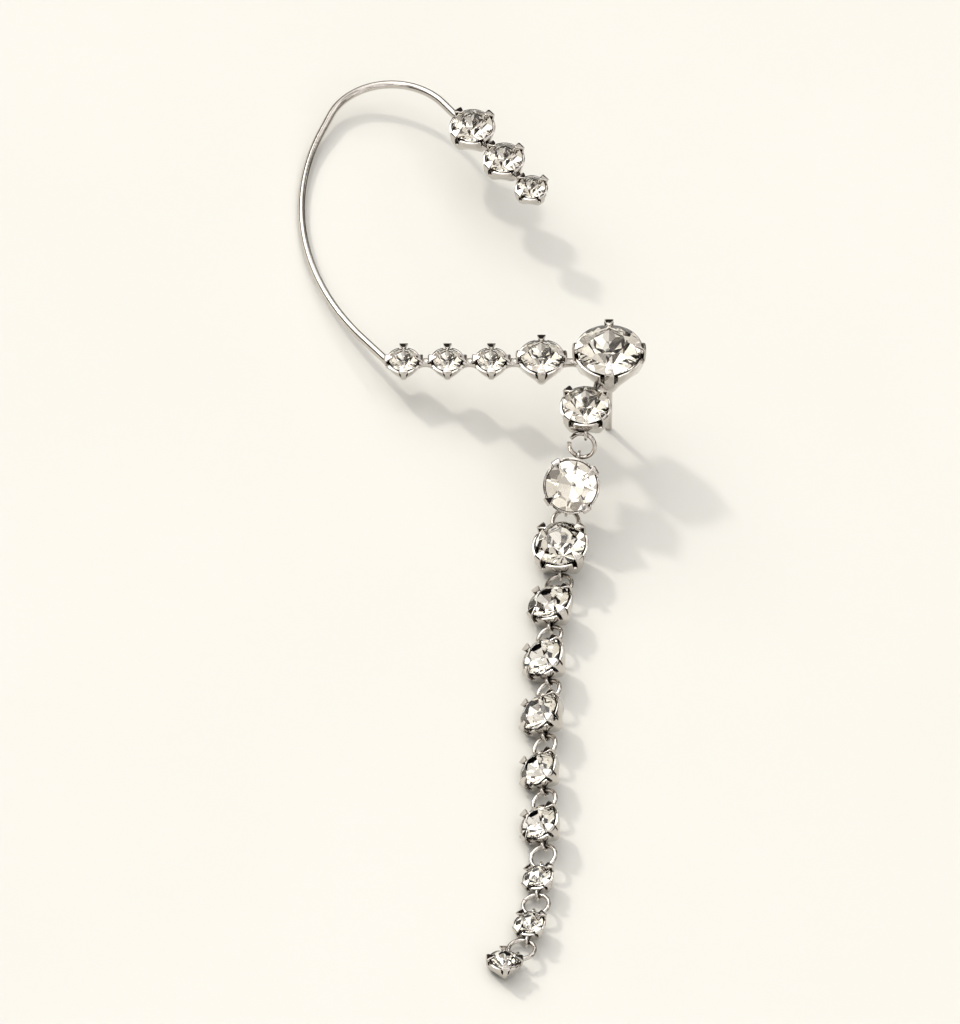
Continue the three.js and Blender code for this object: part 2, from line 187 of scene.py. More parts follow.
settings = {name: Setting(name, "cuff_frame") for name in FRAME_STONES}
for number in DROP_NUMBERS:
    settings[f"drop_stone_{number}"] = Setting(f"drop_stone_{number}", f"drop_setting_{number}")
for name, setting in settings.items():
    print(name, "diameter", round(setting.diameter / MM, 2), "depth", round(setting.depth / MM, 2))

# %% [markdown]
# The frame was soldered flat, so its parts are made in the frame's own plane: x along the row towards
# the big stone, y towards the hook, z out of the plane, from the middle of the big cup's back.

# %% The frame's plane
big = settings["big_stone"]
row_end = settings["row_stone_3"]
frame_x = (big.base() - row_end.base()).normalized()
frame_z = Vector(big.axis)
frame_axes = Matrix((frame_x, frame_z.cross(frame_x), frame_z)).transposed().to_4x4()
FRAME_PLACE = Matrix.Translation(big.base()) @ frame_axes


def in_frame(point):
    return FRAME_PLACE.inverted() @ Vector(point)


print("lean in degrees", round(math.degrees(frame_z.angle(Vector((0, 0, 1)))), 2))

# %% [markdown]
# The crystals are round machine-cut glass with a silver foil on the back. A cutter grinds one flat at a
# time, so the stone is made the same way: a round blank, and one bisect with its cap filled for each
# facet. That gives true planes that meet in true edges, which is what makes a stone sparkle. A subdivided
# ball would be soft. The blank is one unit across, and every stone is a scaled copy.

# %% Cut one stone
TABLE_HEIGHT = 0.185
TABLE_RADIUS = 0.247
GIRDLE_HALF = 0.015
KITE_TILT = 34.5
STAR_TILT = 20
PAVILION_TILT = 40.7
BREAK_TILT = 40.5
BLANK_SIDES = 64


def facet(azimuth, radius, height, tilt, side=1):
    """Grinds away what lies outside one flat, on the crown or, with side -1, on the pavilion."""
    a, t = math.radians(azimuth), math.radians(tilt)
    normal = (math.sin(t) * math.cos(a), math.sin(t) * math.sin(a), side * math.cos(t))
    bpy.ops.mesh.select_all(action="SELECT")
    bpy.ops.mesh.bisect(
        plane_co=(radius * math.cos(a), radius * math.sin(a), height),
        plane_no=normal,
        use_fill=True,
        clear_outer=True,
    )


def cut_stone():
    clear_selection()
    bpy.ops.mesh.primitive_cylinder_add(vertices=BLANK_SIDES, radius=0.5, depth=1.2)
    stone = bpy.context.object
    stone.name = "stone_blank"
    edit(stone)
    facet(0, 0, TABLE_HEIGHT, 0)
    for i in range(8):
        facet(45 * i + 22.5, 0.5, GIRDLE_HALF, KITE_TILT)
        facet(45 * i, TABLE_RADIUS, TABLE_HEIGHT, STAR_TILT)
        facet(45 * i + 22.5, 0.5, -GIRDLE_HALF, PAVILION_TILT, side=-1)
    for i in range(16):
        facet(22.5 * i + 11.25, 0.5, 0.8 * GIRDLE_HALF, BREAK_TILT)
    bpy.ops.mesh.select_all(action="SELECT")
    bpy.ops.mesh.remove_doubles(threshold=0.0005)
    bpy.ops.mesh.normals_make_consistent(inside=False)
    return finish_mesh(stone, 3)


stone_model = cut_stone()
print("facets", len(stone_model.data.polygons) - BLANK_SIDES)

# %% [markdown]
# A claw setting is stamped from thin sheet: a cup with four strips that stand up past the stone and are
# bent over it. Between them the wall ends in lobes, with a notch on each side of a claw. It is built as
# a hand would: a ring is extruded up in levels and pulled into a four-pointed star at the claws, the
# lobes and the claws are extruded from its rim, and Solidify gives the sheet its 0.3 mm. A bevel and one
# level of subdivision round the stamped edges, which is where polished metal catches the light.

# %% Setting sizes
SHEET = 0.3 * MM
STONE_CLEARANCE = 0.08 * MM
CLAW_FLARE = 0.32 * MM
FOOT_BETWEEN = 0.34
FOOT_AT_CLAW = 0.48
COLUMNS = 48
COLUMN_ANGLE = 360 / COLUMNS
CLAW_EDGE = 1
NOTCH_EDGE = 2
CLAW_WIDTH = 1.12 * MM
CLAW_GRIP = 0.095
CLAW_CLEARANCE = 0.03 * MM
WAIST_HEIGHT = 0.35
WAIST_SHARE = 0.6
LOBE_HEIGHT = 0.3
LOBE_CURVE = [(3, 0.016), (4, 0.024), (5, 0.0272), (6, 0.0288)]
SAME_LEVEL = 0.01 * MM


def column_of(point):
    """How many columns a point lies from the nearest claw's middle, whole or half for an edge."""
    angle = math.degrees(math.atan2(point.y, point.x)) % (360 / CLAWS)
    return round(2 * min(angle, 360 / CLAWS - angle) / COLUMN_ANGLE) / 2


def wall_radius(diameter, column, share):
    """Radius of the outside of the wall at a column and a share of the cup's depth."""
    middle = 45 / COLUMN_ANGLE
    star = max(0.0, 1 - max(0, column - CLAW_EDGE) / (middle - CLAW_EDGE)) ** 2
    foot = diameter * (FOOT_BETWEEN + (FOOT_AT_CLAW - FOOT_BETWEEN) * star)
    rim = diameter / 2 + STONE_CLEARANCE + SHEET
    if column <= CLAW_EDGE:
        rim += CLAW_FLARE
    waist = foot + WAIST_SHARE * (rim - foot)
    if share < WAIST_HEIGHT:
        return foot + (waist - foot) * share / WAIST_HEIGHT
    return waist + (rim - waist) * min(1.0, (share - WAIST_HEIGHT) / 0.4)


def ring_at(cup, height, test, radius_of, tolerance=0.02 * MM):
    """Pulls each column of one level out or in to its radius."""
    for column in range(int(45 / COLUMN_ANGLE) + 1):
        def chosen(point, part):
            return abs(point.z - height) < tolerance and column_of(point) == column and test(point, part)

        if not pick(cup, "VERT", chosen):
            continue
        mesh = bmesh.from_edit_mesh(cup.data)
        now = next(Vector(v.co).to_2d().length for v in mesh.verts if v.select)
        scale = radius_of(column) / now
        bpy.ops.transform.resize(value=(scale, scale, 1), center_override=(0, 0, height))


def anywhere(point, part):
    return True


def raise_edges(cup, height, rise, test):
    """Extrudes the open edges of one level straight up."""
    def chosen(point, part):
        return abs(point.z - height) < 0.02 * MM and len(part.link_faces) < 2 and test(point, part)

    pick(cup, "EDGE", chosen)
    bpy.ops.mesh.extrude_edges_move(TRANSFORM_OT_translate={"value": (0, 0, rise)})


# %% Shape one setting
def make_cup(diameter, depth):
    levels = [0, 0.15, WAIST_HEIGHT, 0.6]
    heights = [depth * (share - 1) for share in levels]
    clear_selection()
    bpy.ops.mesh.primitive_circle_add(vertices=COLUMNS, radius=0.3 * diameter, location=(0, 0, 0))
    cup = bpy.context.object
    cup.name = f"cup_{diameter / MM:.1f}"
    edit(cup)
    bpy.ops.mesh.select_all(action="SELECT")
    bpy.ops.transform.translate(value=(0, 0, heights[0]))
    ring_at(cup, heights[0], anywhere, lambda column: wall_radius(diameter, column, 0))
    for share, low, high in zip(levels[1:], heights, heights[1:]):
        raise_edges(cup, low, high - low, anywhere)
        ring_at(cup, high, anywhere, lambda column: wall_radius(diameter, column, share))
    rim = heights[-1]

    lobe = LOBE_HEIGHT * depth
    raise_edges(cup, rim, lobe, lambda p, part: column_of(p) > NOTCH_EDGE)
    lobe_top = rim + lobe
    ring_at(cup, lobe_top, anywhere, lambda column: wall_radius(diameter, column, 0.9))
    for column, lift in LOBE_CURVE:
        pick(cup, "VERT", lambda p, part: abs(p.z - lobe_top) < SAME_LEVEL and column_of(p) == column)
        bpy.ops.transform.translate(value=(0, 0, lift * depth))

    def on_claw(point, part):
        return column_of(point) <= CLAW_EDGE

    crown_slope = (TABLE_HEIGHT - GIRDLE_HALF) / (0.5 - TABLE_RADIUS)
    grip = CLAW_GRIP * diameter
    tip_height = GIRDLE_HALF * diameter + crown_slope * grip + CLAW_CLEARANCE + SHEET
    reach = diameter / 2 + STONE_CLEARANCE + SHEET + CLAW_FLARE
    bend = [
        (reach, 0.0),
        (reach - 0.04 * MM, 0.45 * tip_height),
        (reach - 0.2 * MM, 0.68 * tip_height),
        (diameter / 2 + 0.08 * MM, tip_height - 0.14 * MM),
        (diameter / 2 - grip, tip_height),
    ]
    level = rim
    for radius, height in bend:
        raise_edges(cup, level, height - level, on_claw)
        ring_at(cup, height, on_claw, lambda column: radius)
        level = height
    claw_step = 2 * math.sin(math.radians(COLUMN_ANGLE)) * reach
    widen = max(1.0, CLAW_WIDTH / claw_step)
    widths = [1.0, widen, widen, 0.95 * widen, 0.4 * widen]
    for (radius, height), width in zip(bend, widths):
        for along_y, scale in [(False, (1, width, 1)), (True, (width, 1, 1))]:
            def on_level(point, part):
                same = abs(point.z - height) < SAME_LEVEL and on_claw(point, part)
                return same and (abs(point.y) > abs(point.x)) == along_y

            pick(cup, "VERT", on_level)
            bpy.ops.transform.resize(value=scale, center_override=(0, 0, height))

    pick(cup, "EDGE", lambda p, part: abs(p.z - heights[0]) < SAME_LEVEL)
    for shrink in (0.75, 0.5):
        bpy.ops.mesh.extrude_edges_move()
        bpy.ops.transform.resize(value=(shrink, shrink, 1), center_override=(0, 0, heights[0]))
    bpy.ops.mesh.edge_face_add()
    bpy.ops.mesh.select_all(action="SELECT")
    bpy.ops.mesh.normals_make_consistent(inside=False)
    clear_selection()

    low_wall = [f for f in cup.data.polygons if heights[0] < f.center.z < heights[2]]
    outward = sum(f.normal.xy.dot(f.center.xy) for f in low_wall)
    if outward < 0:
        edit(cup)
        bpy.ops.mesh.select_all(action="SELECT")
        bpy.ops.mesh.flip_normals()
        clear_selection()
    apply_modifier(cup, "SOLIDIFY", thickness=SHEET, offset=-1, use_even_offset=True)
    apply_modifier(cup, "BEVEL", width=0.05 * MM, segments=2, limit_method="ANGLE",
                   angle_limit=math.radians(50))
    apply_modifier(cup, "SUBSURF", levels=1, render_levels=1)
    return finish_mesh(cup)


cup_models = {}
for setting in settings.values():
    size = round(setting.diameter / MM, 1)
    if size not in cup_models:
        cup_models[size] = make_cup(setting.diameter, setting.depth)
        print("setting", size, "mm, faces", len(cup_models[size].data.polygons))
print("sizes of setting", len(cup_models))

# %% [markdown]
# An eyelet is a small loop of wire soldered upright on the wall of a cup. A torus is the loop, and its
# inner half is squeezed and pulled to the wall, where the solder draws it into a neck.

# %% Eyelet
EYELET_RADIUS = 0.62 * MM
EYELET_WIRE = 0.4 * MM
EYELET_HEIGHT = EYELET_RADIUS + EYELET_WIRE / 2


def make_eyelet():
    clear_selection()
    bpy.ops.mesh.primitive_torus_add(
        major_segments=40,
        minor_segments=14,
        major_radius=EYELET_RADIUS,
        minor_radius=EYELET_WIRE / 2,
        rotation=(math.pi / 2, 0, 0),
    )
    eyelet = bpy.context.object
    eyelet.name = "eyelet_model"
    bpy.ops.object.transform_apply(rotation=True)
    edit(eyelet)
    pick(eyelet, "VERT", lambda p, part: p.x < -0.25 * MM)
    bpy.ops.transform.resize(value=(1.05, 1.35, 0.85), center_override=(-0.25 * MM, 0, 0))
    pick(eyelet, "VERT", lambda p, part: p.x < -0.55 * MM)
    bpy.ops.transform.resize(value=(1, 1.3, 1.1), center_override=(-0.4 * MM, 0, 0))
    return finish_mesh(eyelet)


eyelet_model = make_eyelet()
print("eyelet faces", len(eyelet_model.data.polygons))

# %% [markdown]
# Jump rings are cut from a coil of wire, so each has a slit where its ends meet. The one that links the
# drop to the frame was left open. A round section is spun about the ring's axis, a little less than a
# full turn, and its ends are capped. The rings' places come from the solids as the stones' do.

# %% Jump rings
RING_WIRE = 0.56 * MM
SEAM = 1.2
OPEN_GAP = 22


class Ring:
    """Centre, axis and radius of a ring's wire, and where it opens."""

    def __init__(self, node):
        points = corners(node)
        self.axis = np.linalg.svd(points - points.mean(axis=0))[2][2]
        box_middle = points.mean(axis=0)
        side = np.cross(self.axis, [0.1, 1, 0.2])
        side /= np.linalg.norm(side)
        other = np.cross(self.axis, side)
        flat = np.c_[(points - box_middle) @ side, (points - box_middle) @ other]
        fit = np.linalg.lstsq(np.c_[2 * flat, np.ones(len(flat))], (flat ** 2).sum(axis=1), rcond=None)[0]
        self.centre = box_middle + fit[0] * side + fit[1] * other
        around = flat - fit[:2]
        distance = np.linalg.norm(around, axis=1)
        self.radius = (distance.max() + distance.min()) / 2
        turns = np.sort(np.degrees(np.arctan2(around[:, 1], around[:, 0])) % 360)
        gaps = np.diff(np.append(turns, turns[0] + 360))
        widest = gaps.argmax()
        self.opening = math.radians(turns[widest] + gaps[widest] / 2)
        self.side, self.other = side, other

    def place(self, opening):
        x = math.cos(opening) * self.side + math.sin(opening) * self.other
        x, z = Vector(x), Vector(self.axis)
        axes = Matrix((x, z.cross(x), z)).transposed().to_4x4()
        return Matrix.Translation(Vector(self.centre)) @ axes


def make_ring(name, radius, opening):
    """A ring that opens at +x by the given angle, in degrees."""
    half = math.radians(opening / 2)
    start = (radius * math.cos(half), radius * math.sin(half), 0)
    clear_selection()
    bpy.ops.mesh.primitive_circle_add(
        vertices=16, radius=RING_WIRE / 2, fill_type="NGON", location=start,
        rotation=(math.pi / 2, 0, half),
    )
    ring = bpy.context.object
    ring.name = name
    bpy.ops.object.transform_apply(location=True, rotation=True)
    edit(ring)
    bpy.ops.mesh.select_all(action="SELECT")
    bpy.ops.mesh.spin(steps=64, angle=2 * (math.pi - half), center=(0, 0, 0), axis=(0, 0, 1))
    bpy.ops.mesh.select_all(action="SELECT")
    bpy.ops.mesh.remove_doubles(threshold=0.001 * MM)
    bpy.ops.mesh.normals_make_consistent(inside=False)
    clear_selection()
    apply_modifier(ring, "BEVEL", width=0.03 * MM, segments=2, limit_method="ANGLE",
                   angle_limit=math.radians(60))
    return finish_mesh(ring, 40)


rings = {number: Ring(f"jump_ring_{number}") for number in DROP_NUMBERS}
ring_radius = rings["02"].radius
open_model = make_ring("open_ring_model", ring_radius, OPEN_GAP)
closed_model = make_ring("closed_ring_model", ring_radius, SEAM)
print("ring radius in mm", round(ring_radius / MM, 3))
print("open ring box", [round(v / MM, 2) for v in open_model.dimensions])

# %% [markdown]
# The hook is one round wire, bent flat round two formers. It is made as it is bent: a round section is
# pulled straight, spun about the first bend's middle, pulled again, and so on. The lengths and bends are
# those of the solid. Twenty sides and smooth shading give the even highlight of drawn wire.

# %% Hook wire
WIRE_DIAMETER = 1.0 * MM
WIRE_HEADING = 130
WIRE_HEIGHT = 1.2 * MM
BENDS = [
    (5.0 * MM, 32 * MM, 62),
    (2.8 * MM, 8 * MM, 120),
    (3.6 * MM, 0, 0),
]


def heading_vector(degrees):
    return Vector((math.cos(math.radians(degrees)), math.sin(math.radians(degrees)), 0))


def make_wire(start):
    clear_selection()
    bpy.ops.mesh.primitive_circle_add(
        vertices=20, radius=WIRE_DIAMETER / 2, fill_type="NGON", location=start,
        rotation=(math.pi / 2, 0, math.radians(WIRE_HEADING - 90)),
    )
    wire = bpy.context.object
    wire.name = "hook_wire"
    bpy.ops.object.transform_apply(location=True, rotation=True)
    edit(wire)
    bpy.ops.mesh.select_all(action="SELECT")
    point, heading = Vector(start), WIRE_HEADING
    for length, radius, turn in BENDS:
        step = length * heading_vector(heading)
        bpy.ops.mesh.extrude_region_move(TRANSFORM_OT_translate={"value": step})
        point += step
        if turn:
            former = point + radius * heading_vector(heading - 90)
            bpy.ops.mesh.spin(steps=turn, angle=math.radians(turn), center=former, axis=(0, 0, 1))
            point = former + radius * heading_vector(heading + 90 - turn)
            heading -= turn
    bpy.ops.mesh.select_all(action="SELECT")
    bpy.ops.mesh.remove_doubles(threshold=0.001 * MM)
    bpy.ops.mesh.normals_make_consistent(inside=False)
    return wire, point


row_end_base = in_frame(row_end.base())
row_end_wall = wall_radius(row_end.diameter, 6, 0.5) - SHEET / 2
wire_start = Vector((row_end_base.x - row_end_wall, 0, WIRE_HEIGHT))
hook_wire, wire_end = make_wire(wire_start)
tip_base = in_frame(settings["hook_stone_1"].base())
print("wire end in mm", [round(v / MM, 2) for v in wire_end])
print("first tip cup in mm", [round(v / MM, 2) for v in tip_base])

# %% [markdown]
# Between two cups the solder has drawn itself into a short neck. A cylinder is cut into rings and each
# ring is scaled, thin in the middle and wide where it wets the cups.

# %% Solder necks
SOLDER_RADIUS = 0.72 * MM
NECK_HEIGHT = 1.35 * MM
NECK_WAIST = 0.74
EYELET_NECK_RADIUS = 0.34 * MM


def make_neck(name, start, end, radius):
    """A neck from one point to another, in its own mesh."""
    line = end - start
    half = line.length / 2
    clear_selection()
    bpy.ops.mesh.primitive_cylinder_add(vertices=20, radius=radius, depth=2 * half)
    neck = bpy.context.object
    neck.name = name
    edit(neck)
    pick(neck, "EDGE", lambda p, part: abs(part.verts[0].co.z - part.verts[1].co.z) > half)
    bpy.ops.mesh.subdivide(number_cuts=7)
    for i in range(1, 8):
        level = half * (i / 4 - 1)
        pick(neck, "VERT", lambda p, part: abs(p.z - level) < 0.01 * MM)
        scale = NECK_WAIST + (1 - NECK_WAIST) * (level / half) ** 2
        bpy.ops.transform.resize(value=(scale, scale, 1), center_override=(0, 0, level))
    clear_selection()
    turned = line.to_track_quat("Z", "Y").to_matrix().to_4x4()
    neck.matrix_world = Matrix.Translation((start + end) / 2) @ turned
    return finish_mesh(neck, 50)


def seat(setting):
    """From a cup's axis to the middle of its wall, where the solder starts."""
    return wall_radius(setting.diameter, 6, NECK_HEIGHT / setting.depth) - SHEET / 2


def solder(name, one, other):
    a, b = (in_frame(settings[node].base()) for node in (one, other))
    way = (b - a).normalized()
    up = Vector((0, 0, NECK_HEIGHT))
    start = a + seat(settings[one]) * way + up
    end = b - seat(settings[other]) * way + up
    return make_neck(name, start, end, SOLDER_RADIUS)


row = ["big_stone", "medium_stone", *ROW_STONES]
joints = [("big_stone", "second_stone"), *zip(row, row[1:]), *zip(TIP_STONES, TIP_STONES[1:])]
necks = [solder(f"solder_neck_{i + 1}", one, other) for i, (one, other) in enumerate(joints)]
print("solder necks", len(necks))

# %% [markdown]
# The ear post is a plain straight wire, soldered upright behind the big stone, with its edge rounded off
# so that it goes through the lobe. Its root is extruded wider, as the solder fillet is.

# %% Ear post
POST_RADIUS = 0.45 * MM
POST_LENGTH = 11 * MM
FILLET = 0.35 * MM


def make_post():
    clear_selection()
    length = POST_LENGTH - FILLET
    bpy.ops.mesh.primitive_cylinder_add(
        vertices=24, radius=POST_RADIUS, depth=length, location=(0, 0, -FILLET - length / 2))
    post = bpy.context.object
    post.name = "ear_post"
    bpy.ops.object.transform_apply(location=True)
    edit(post)
    pick(post, "FACE", lambda p, part: part.normal.z > 0.9)
    for rise, scale in [(0.15 * MM, 1.12), (0.12 * MM, 1.25), (0.2 * MM, 1.2)]:
        bpy.ops.mesh.extrude_region_move(TRANSFORM_OT_translate={"value": (0, 0, rise)})
        bpy.ops.transform.resize(value=(scale, scale, 1))
    pick(post, "EDGE", lambda p, part: p.z < -POST_LENGTH + 0.01 * MM)
    bpy.ops.mesh.bevel(offset=0.15 * MM, segments=4)
    return finish_mesh(post, 40)


ear_post = make_post()
print("post length in mm", round(ear_post.dimensions.z / MM, 2))

# %% [markdown]
# Now the models are set out. Each setting and crystal is copied to its place. A drop cup and its eyelets
# are one soldered piece, so they are joined. The way the drop runs at a cup is the claw direction plus
# 45 degrees, a quarter turn or so either way, that comes nearest to the next ring.

# %% Set out the frame
pieces = []


def keep(piece, material_slot, *nodes):
    pieces.append((piece, material_slot, nodes))


def move_to_frame(piece):
    piece.matrix_world = FRAME_PLACE @ piece.matrix_world
    return finish_mesh(piece, 50)


def join(piece, others):
    clear_selection()
    for other in [*others, piece]:
        other.select_set(True)
    bpy.context.view_layer.objects.active = piece
    bpy.ops.object.join()
    return piece


def model_for(setting):
    return cup_models[round(setting.diameter / MM, 1)]


for piece in [hook_wire, ear_post, *necks]:
    keep(move_to_frame(piece), "plated_metal", "cuff_frame")
for node in FRAME_STONES:
    cup = copy_at(model_for(settings[node]), node.replace("stone", "cup"), settings[node].place())
    keep(cup, "plated_metal", "cuff_frame")

second = in_frame(settings["second_stone"].base())
metal = np.array([in_frame(point) for point in corners("cuff_frame")])
below_second = metal[abs(metal[:, 0] - second.x) < 0.3 * MM]
eyelet_reach = second.y - below_second[:, 1].min() - EYELET_RADIUS - EYELET_WIRE / 2
eyelet_place = (
    FRAME_PLACE
    @ Matrix.Translation(second + Vector((0, -eyelet_reach, EYELET_HEIGHT)))
    @ Matrix.Rotation(-math.pi / 2, 4, "Z")
)
keep(copy_at(eyelet_model, "second_eyelet", eyelet_place), "plated_metal", "cuff_frame")
print("eyelet reach in mm", round(eyelet_reach / MM, 2))

# %% Set out the drop
for i, number in enumerate(DROP_NUMBERS):
    setting = settings[f"drop_stone_{number}"]
    last = number == DROP_NUMBERS[-1]
    goal = setting.centre if last else rings[DROP_NUMBERS[i + 1]].centre
    along = Vector(goal - rings[number].centre)
    turns = [math.radians(45 + 90 * k) for k in range(CLAWS)]
    turn = max(turns, key=lambda angle: (setting.place(angle).to_3x3() @ Vector((1, 0, 0))).dot(along))
    place = setting.place(turn)
    to_place = place.inverted()
    reach = [(to_place @ Vector(point)).x for point in corners(setting.metal_node)]
    loop = EYELET_RADIUS + EYELET_WIRE / 2
    height = EYELET_HEIGHT - setting.depth
    wall = wall_radius(setting.diameter, 6, EYELET_HEIGHT / setting.depth)
    cup = copy_at(model_for(setting), f"drop_cup_{number}", setting.place())
    loops = [(min(reach) + loop, math.pi)] + ([] if last else [(max(reach) - loop, 0)])
    fittings = []
    for x, half_turn in loops:
        here = place @ Matrix.Translation((x, 0, height)) @ Matrix.Rotation(half_turn, 4, "Z")
        fittings.append(copy_at(eyelet_model, "eyelet", here))
        if abs(x) > wall + 1.1 * EYELET_RADIUS:
            sign = math.copysign(1, x)
            start = place @ Vector((sign * (wall - SHEET / 2), 0, height))
            end = place @ Vector((x - sign * EYELET_RADIUS, 0, height))
            fittings.append(make_neck("neck", start, end, EYELET_NECK_RADIUS))
    keep(join(cup, fittings), "plated_metal", setting.metal_node)

    ring = rings[number]
    model = open_model if number == "01" else closed_model
    link = copy_at(model, f"link_ring_{number}", ring.place(ring.opening))
    keep(link, "plated_metal", f"jump_ring_{number}")
print("pieces so far", len(pieces))

# %% Set out the crystals
for node, setting in settings.items():
    crystal = copy_at(stone_model, node.replace("stone", "crystal"), setting.place(), setting.diameter)
    keep(crystal, "crystal", node)
for model in [stone_model, eyelet_model, open_model, closed_model, *cup_models.values()]:
    bpy.data.objects.remove(model)
print("pieces", len(pieces), "crystals", len(settings))

# %% [markdown]
# The colours are given as a screen shows them, in hex, and shaders want linear light, so one function
# turns them. One more adds a node with its settings and its links.


# %% Colours and nodes
def linear(colour):
    channels = [int(colour[i:i + 2], 16) / 255 for i in (1, 3, 5)]
    return (*(c / 12.92 if c <= 0.04045 else ((c + 0.055) / 1.055) ** 2.4 for c in channels), 1.0)


def add(tree, kind, inputs=(), **properties):
    """A node with its properties set. An input is a value, or the socket of another node."""
    node = tree.nodes.new(kind)
    for name, value in properties.items():
        setattr(node, name, value)
    for name, value in dict(inputs).items():
        if isinstance(value, bpy.types.NodeSocket):
            tree.links.new(value, node.inputs[name])
        else:
            node.inputs[name].default_value = value
    return node


def new_material(name):
    material = bpy.data.materials.new(name)
    material.use_nodes = True
    tree = material.node_tree
    return material, tree, tree.nodes["Principled BSDF"]


# %% [markdown]
# The metal is brass with a bright rhodium-toned plating, mirror polished in a barrel. Barrel polishing
# leaves the surface slightly wavy, about half a millimetre from crest to crest, and that waviness breaks
# the reflections up. The recesses get painted shade: where parts come close, their colour is darkened
# towards a dark brown-grey for the shade that falls there. Both come from nodes: a noise in object space
# for the waves, and ambient occlusion over 0.9 mm for the painted shade in the recesses.

# %% Rhodium-plated brass
plating, tree, shader = new_material("rhodium_plated_brass")
place = add(tree, "ShaderNodeTexCoord").outputs["Object"]
waves = add(tree, "ShaderNodeTexNoise", {"Vector": place, "Scale": 1 / (0.55 * MM), "Detail": 2.0})
haze = add(tree, "ShaderNodeTexNoise", {"Vector": place, "Scale": 1 / (1.8 * MM), "Detail": 3.0})
# Painted shade: ambient occlusion darkens the base colour in recesses and between close parts.
painted_shade_occlusion = add(tree, "ShaderNodeAmbientOcclusion", {"Distance": 0.9 * MM}, samples=8)
depth = add(tree, "ShaderNodeMapRange", {
    "Value": painted_shade_occlusion.outputs["AO"], "From Min": 0.2, "From Max": 0.75, "To Min": 1.0, "To Max": 0.0})
tone = add(tree, "ShaderNodeMix", {
    "Factor": haze.outputs["Fac"], "A": linear("#D2CDC7"), "B": linear("#BFB9B2")}, data_type="RGBA")
colour = add(tree, "ShaderNodeMix", {
    "Factor": depth.outputs["Result"], "A": tone.outputs["Result"],
    "B": linear("#4E4540")}, data_type="RGBA")
polish = add(tree, "ShaderNodeMapRange", {
    "Value": haze.outputs["Fac"], "From Min": 0.3, "From Max": 0.7, "To Min": 0.04, "To Max": 0.11})
bump = add(tree, "ShaderNodeBump", {
    "Height": waves.outputs["Fac"], "Strength": 0.6, "Distance": 0.03 * MM})
tree.links.new(colour.outputs["Result"], shader.inputs["Base Color"])
tree.links.new(polish.outputs["Result"], shader.inputs["Roughness"])
tree.links.new(bump.outputs["Normal"], shader.inputs["Normal"])
shader.inputs["Metallic"].default_value = 1.0
print("material", plating.name)

# %% [markdown]
# A foil-backed crystal is two finishes. Its crown is clear lead-free glass, ground and polished, with an
# index of 1.52. Its back is a thin layer of silver, seen through the glass as a mirror, and the sparkle
# is light that the mirror facets send back. So the crown's facets get glass, and the facets that face
# down get a mirror.

# %% Glass and foil
glass, tree, shader = new_material("clear_lead_free_glass")
place = add(tree, "ShaderNodeTexCoord").outputs["Object"]
rub = add(tree, "ShaderNodeTexNoise", {"Vector": place, "Scale": 1 / (0.9 * MM), "Detail": 2.0})
wear = add(tree, "ShaderNodeMapRange", {
    "Value": rub.outputs["Fac"], "From Min": 0.35, "From Max": 0.8, "To Min": 0.0, "To Max": 0.03})
tree.links.new(wear.outputs["Result"], shader.inputs["Roughness"])
shader.inputs["Base Color"].default_value = linear("#FDFCF9")
shader.inputs["Transmission Weight"].default_value = 1.0
shader.inputs["IOR"].default_value = 1.52

foil, tree, shader = new_material("silver_mirror_foil")
place = add(tree, "ShaderNodeTexCoord").outputs["Object"]
mottle = add(tree, "ShaderNodeTexNoise", {"Vector": place, "Scale": 1 / (0.7 * MM), "Detail": 3.0})
silver = add(tree, "ShaderNodeMix", {
    "Factor": mottle.outputs["Fac"], "A": linear("#FBF9F5"), "B": linear("#F1EDE6")}, data_type="RGBA")
tree.links.new(silver.outputs["Result"], shader.inputs["Base Color"])
shader.inputs["Metallic"].default_value = 1.0
shader.inputs["Roughness"].default_value = 0.02
print("materials", glass.name, foil.name)

# %% Finish every piece
for piece, material_slot, nodes in pieces:
    piece.data.materials.clear()
    if material_slot == "crystal":
        piece.data.materials.append(glass)
        piece.data.materials.append(foil)
        axis = Vector(settings[nodes[0]].axis)
        edit(piece)
        piece.active_material_index = 1
        pick(piece, "FACE", lambda p, part: part.normal.dot(axis) < -0.1)
        bpy.ops.object.material_slot_assign()
        clear_selection()
    else:
        piece.data.materials.append(plating)
    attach(piece, "root")
    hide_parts(*nodes)
triangles = sum(len(p.vertices) - 2 for piece, _, _ in pieces for p in piece.data.polygons)
print("triangles", triangles)

# %% [markdown]
# The piece lies on a plain pale table, painted and slightly uneven. The floor is a wide plane with a
# faint mottle, so that shadows have something to fall on and nothing competes with the metal.

# %% Floor
clear_selection()
bpy.ops.mesh.primitive_plane_add(size=3.0)
floor = bpy.context.object
floor.name = "pale_table"
table_paint, tree, shader = new_material("matt_table_paint")
place = add(tree, "ShaderNodeTexCoord").outputs["Object"]
mottle = add(tree, "ShaderNodeTexNoise", {"Vector": place, "Scale": 1 / (45 * MM), "Detail": 3.0})
cream = add(tree, "ShaderNodeMix", {
    "Factor": mottle.outputs["Fac"], "A": linear("#DAD9D5"), "B": linear("#D6D5D0")}, data_type="RGBA")
grain = add(tree, "ShaderNodeTexNoise", {"Vector": place, "Scale": 1 / (0.6 * MM), "Detail": 2.0})
bump = add(tree, "ShaderNodeBump", {
    "Height": grain.outputs["Fac"], "Strength": 0.1, "Distance": 0.02 * MM})
tree.links.new(cream.outputs["Result"], shader.inputs["Base Color"])
tree.links.new(bump.outputs["Normal"], shader.inputs["Normal"])
shader.inputs["Roughness"].default_value = 0.6
floor.data.materials.append(table_paint)

